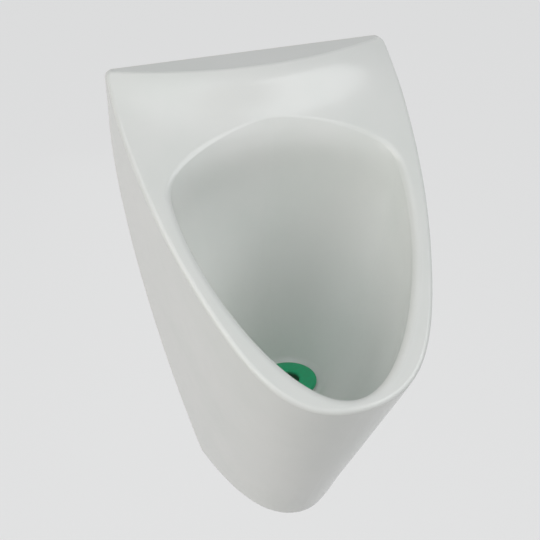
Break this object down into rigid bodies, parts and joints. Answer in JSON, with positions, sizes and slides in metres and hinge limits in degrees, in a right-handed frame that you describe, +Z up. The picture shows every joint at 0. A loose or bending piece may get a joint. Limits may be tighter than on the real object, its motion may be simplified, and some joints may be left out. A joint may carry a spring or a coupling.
{
  "type": "wall hung urinal",
  "caption": "Wall hung waterless urinal: slanted egg-mouthed china bowl on steel hangers, with a lift-out drain cartridge under a domed cover ring and a waste bend to the wall.",
  "frame": {"origin": "on the wall's face, midway between the four hanger screws, where the wall holds the bowl", "axes": "+X to the right of a person facing the wall, +Y into the wall, +Z up"},
  "size_m": [0.321, 0.3833, 0.54],
  "materials": {
    "glazed_china": "clear gloss glaze over white vitreous china",
    "zinc_steel": "bright zinc plate",
    "black_rubber": "matt moulded rubber",
    "grey_silicone": "soft satin silicone",
    "white_nylon": "matt nylon",
    "white_abs": "moulded satin",
    "grey_abs": "moulded, fine grain",
    "green_abs": "moulded, satin gloss",
    "white_pp": "moulded satin"
  },
  "bodies": {
    "bowl": {"ceramic_bowl": "glazed_china", "left_hanger": "zinc_steel", "right_hanger": "zinc_steel", "hook_pads": "black_rubber", "hanger_screws": "zinc_steel", "hanger_washers": "zinc_steel", "lower_screws": "zinc_steel", "lower_washers": "zinc_steel", "lower_bushes": "white_nylon", "drain_housing": "white_abs", "flange_seal": "grey_silicone", "underside_seal": "black_rubber", "slip_washer": "white_nylon", "back_nut": "grey_abs", "outlet_bend": "white_pp", "coupling_nuts": "white_pp", "cone_washers": "black_rubber", "wall_pipe": "white_pp", "wall_rose": "white_pp"},
    "cartridge": {"cartridge_cup": "white_abs", "cartridge_o_rings": "black_rubber"},
    "cover": {"cover_ring": "green_abs", "inlet_seal": "grey_silicone"},
    "float": {"valve_float": "white_abs"}
  },
  "joints": [
    {"name": "cartridge_lift", "type": "slide", "parent": "bowl", "child": "cartridge", "axis": [0, 0, 1], "range_m": [0, 0.1]},
    {"name": "cover_turn", "type": "hinge", "parent": "cartridge", "child": "cover", "pos_m": [0, -0.115, -0.214], "axis": [0, 0, 1], "range_deg": [0, 50]},
    {"name": "float_rise", "type": "slide", "parent": "cartridge", "child": "float", "axis": [0, 0, 1], "range_m": [0, 0.005]}
  ]
}
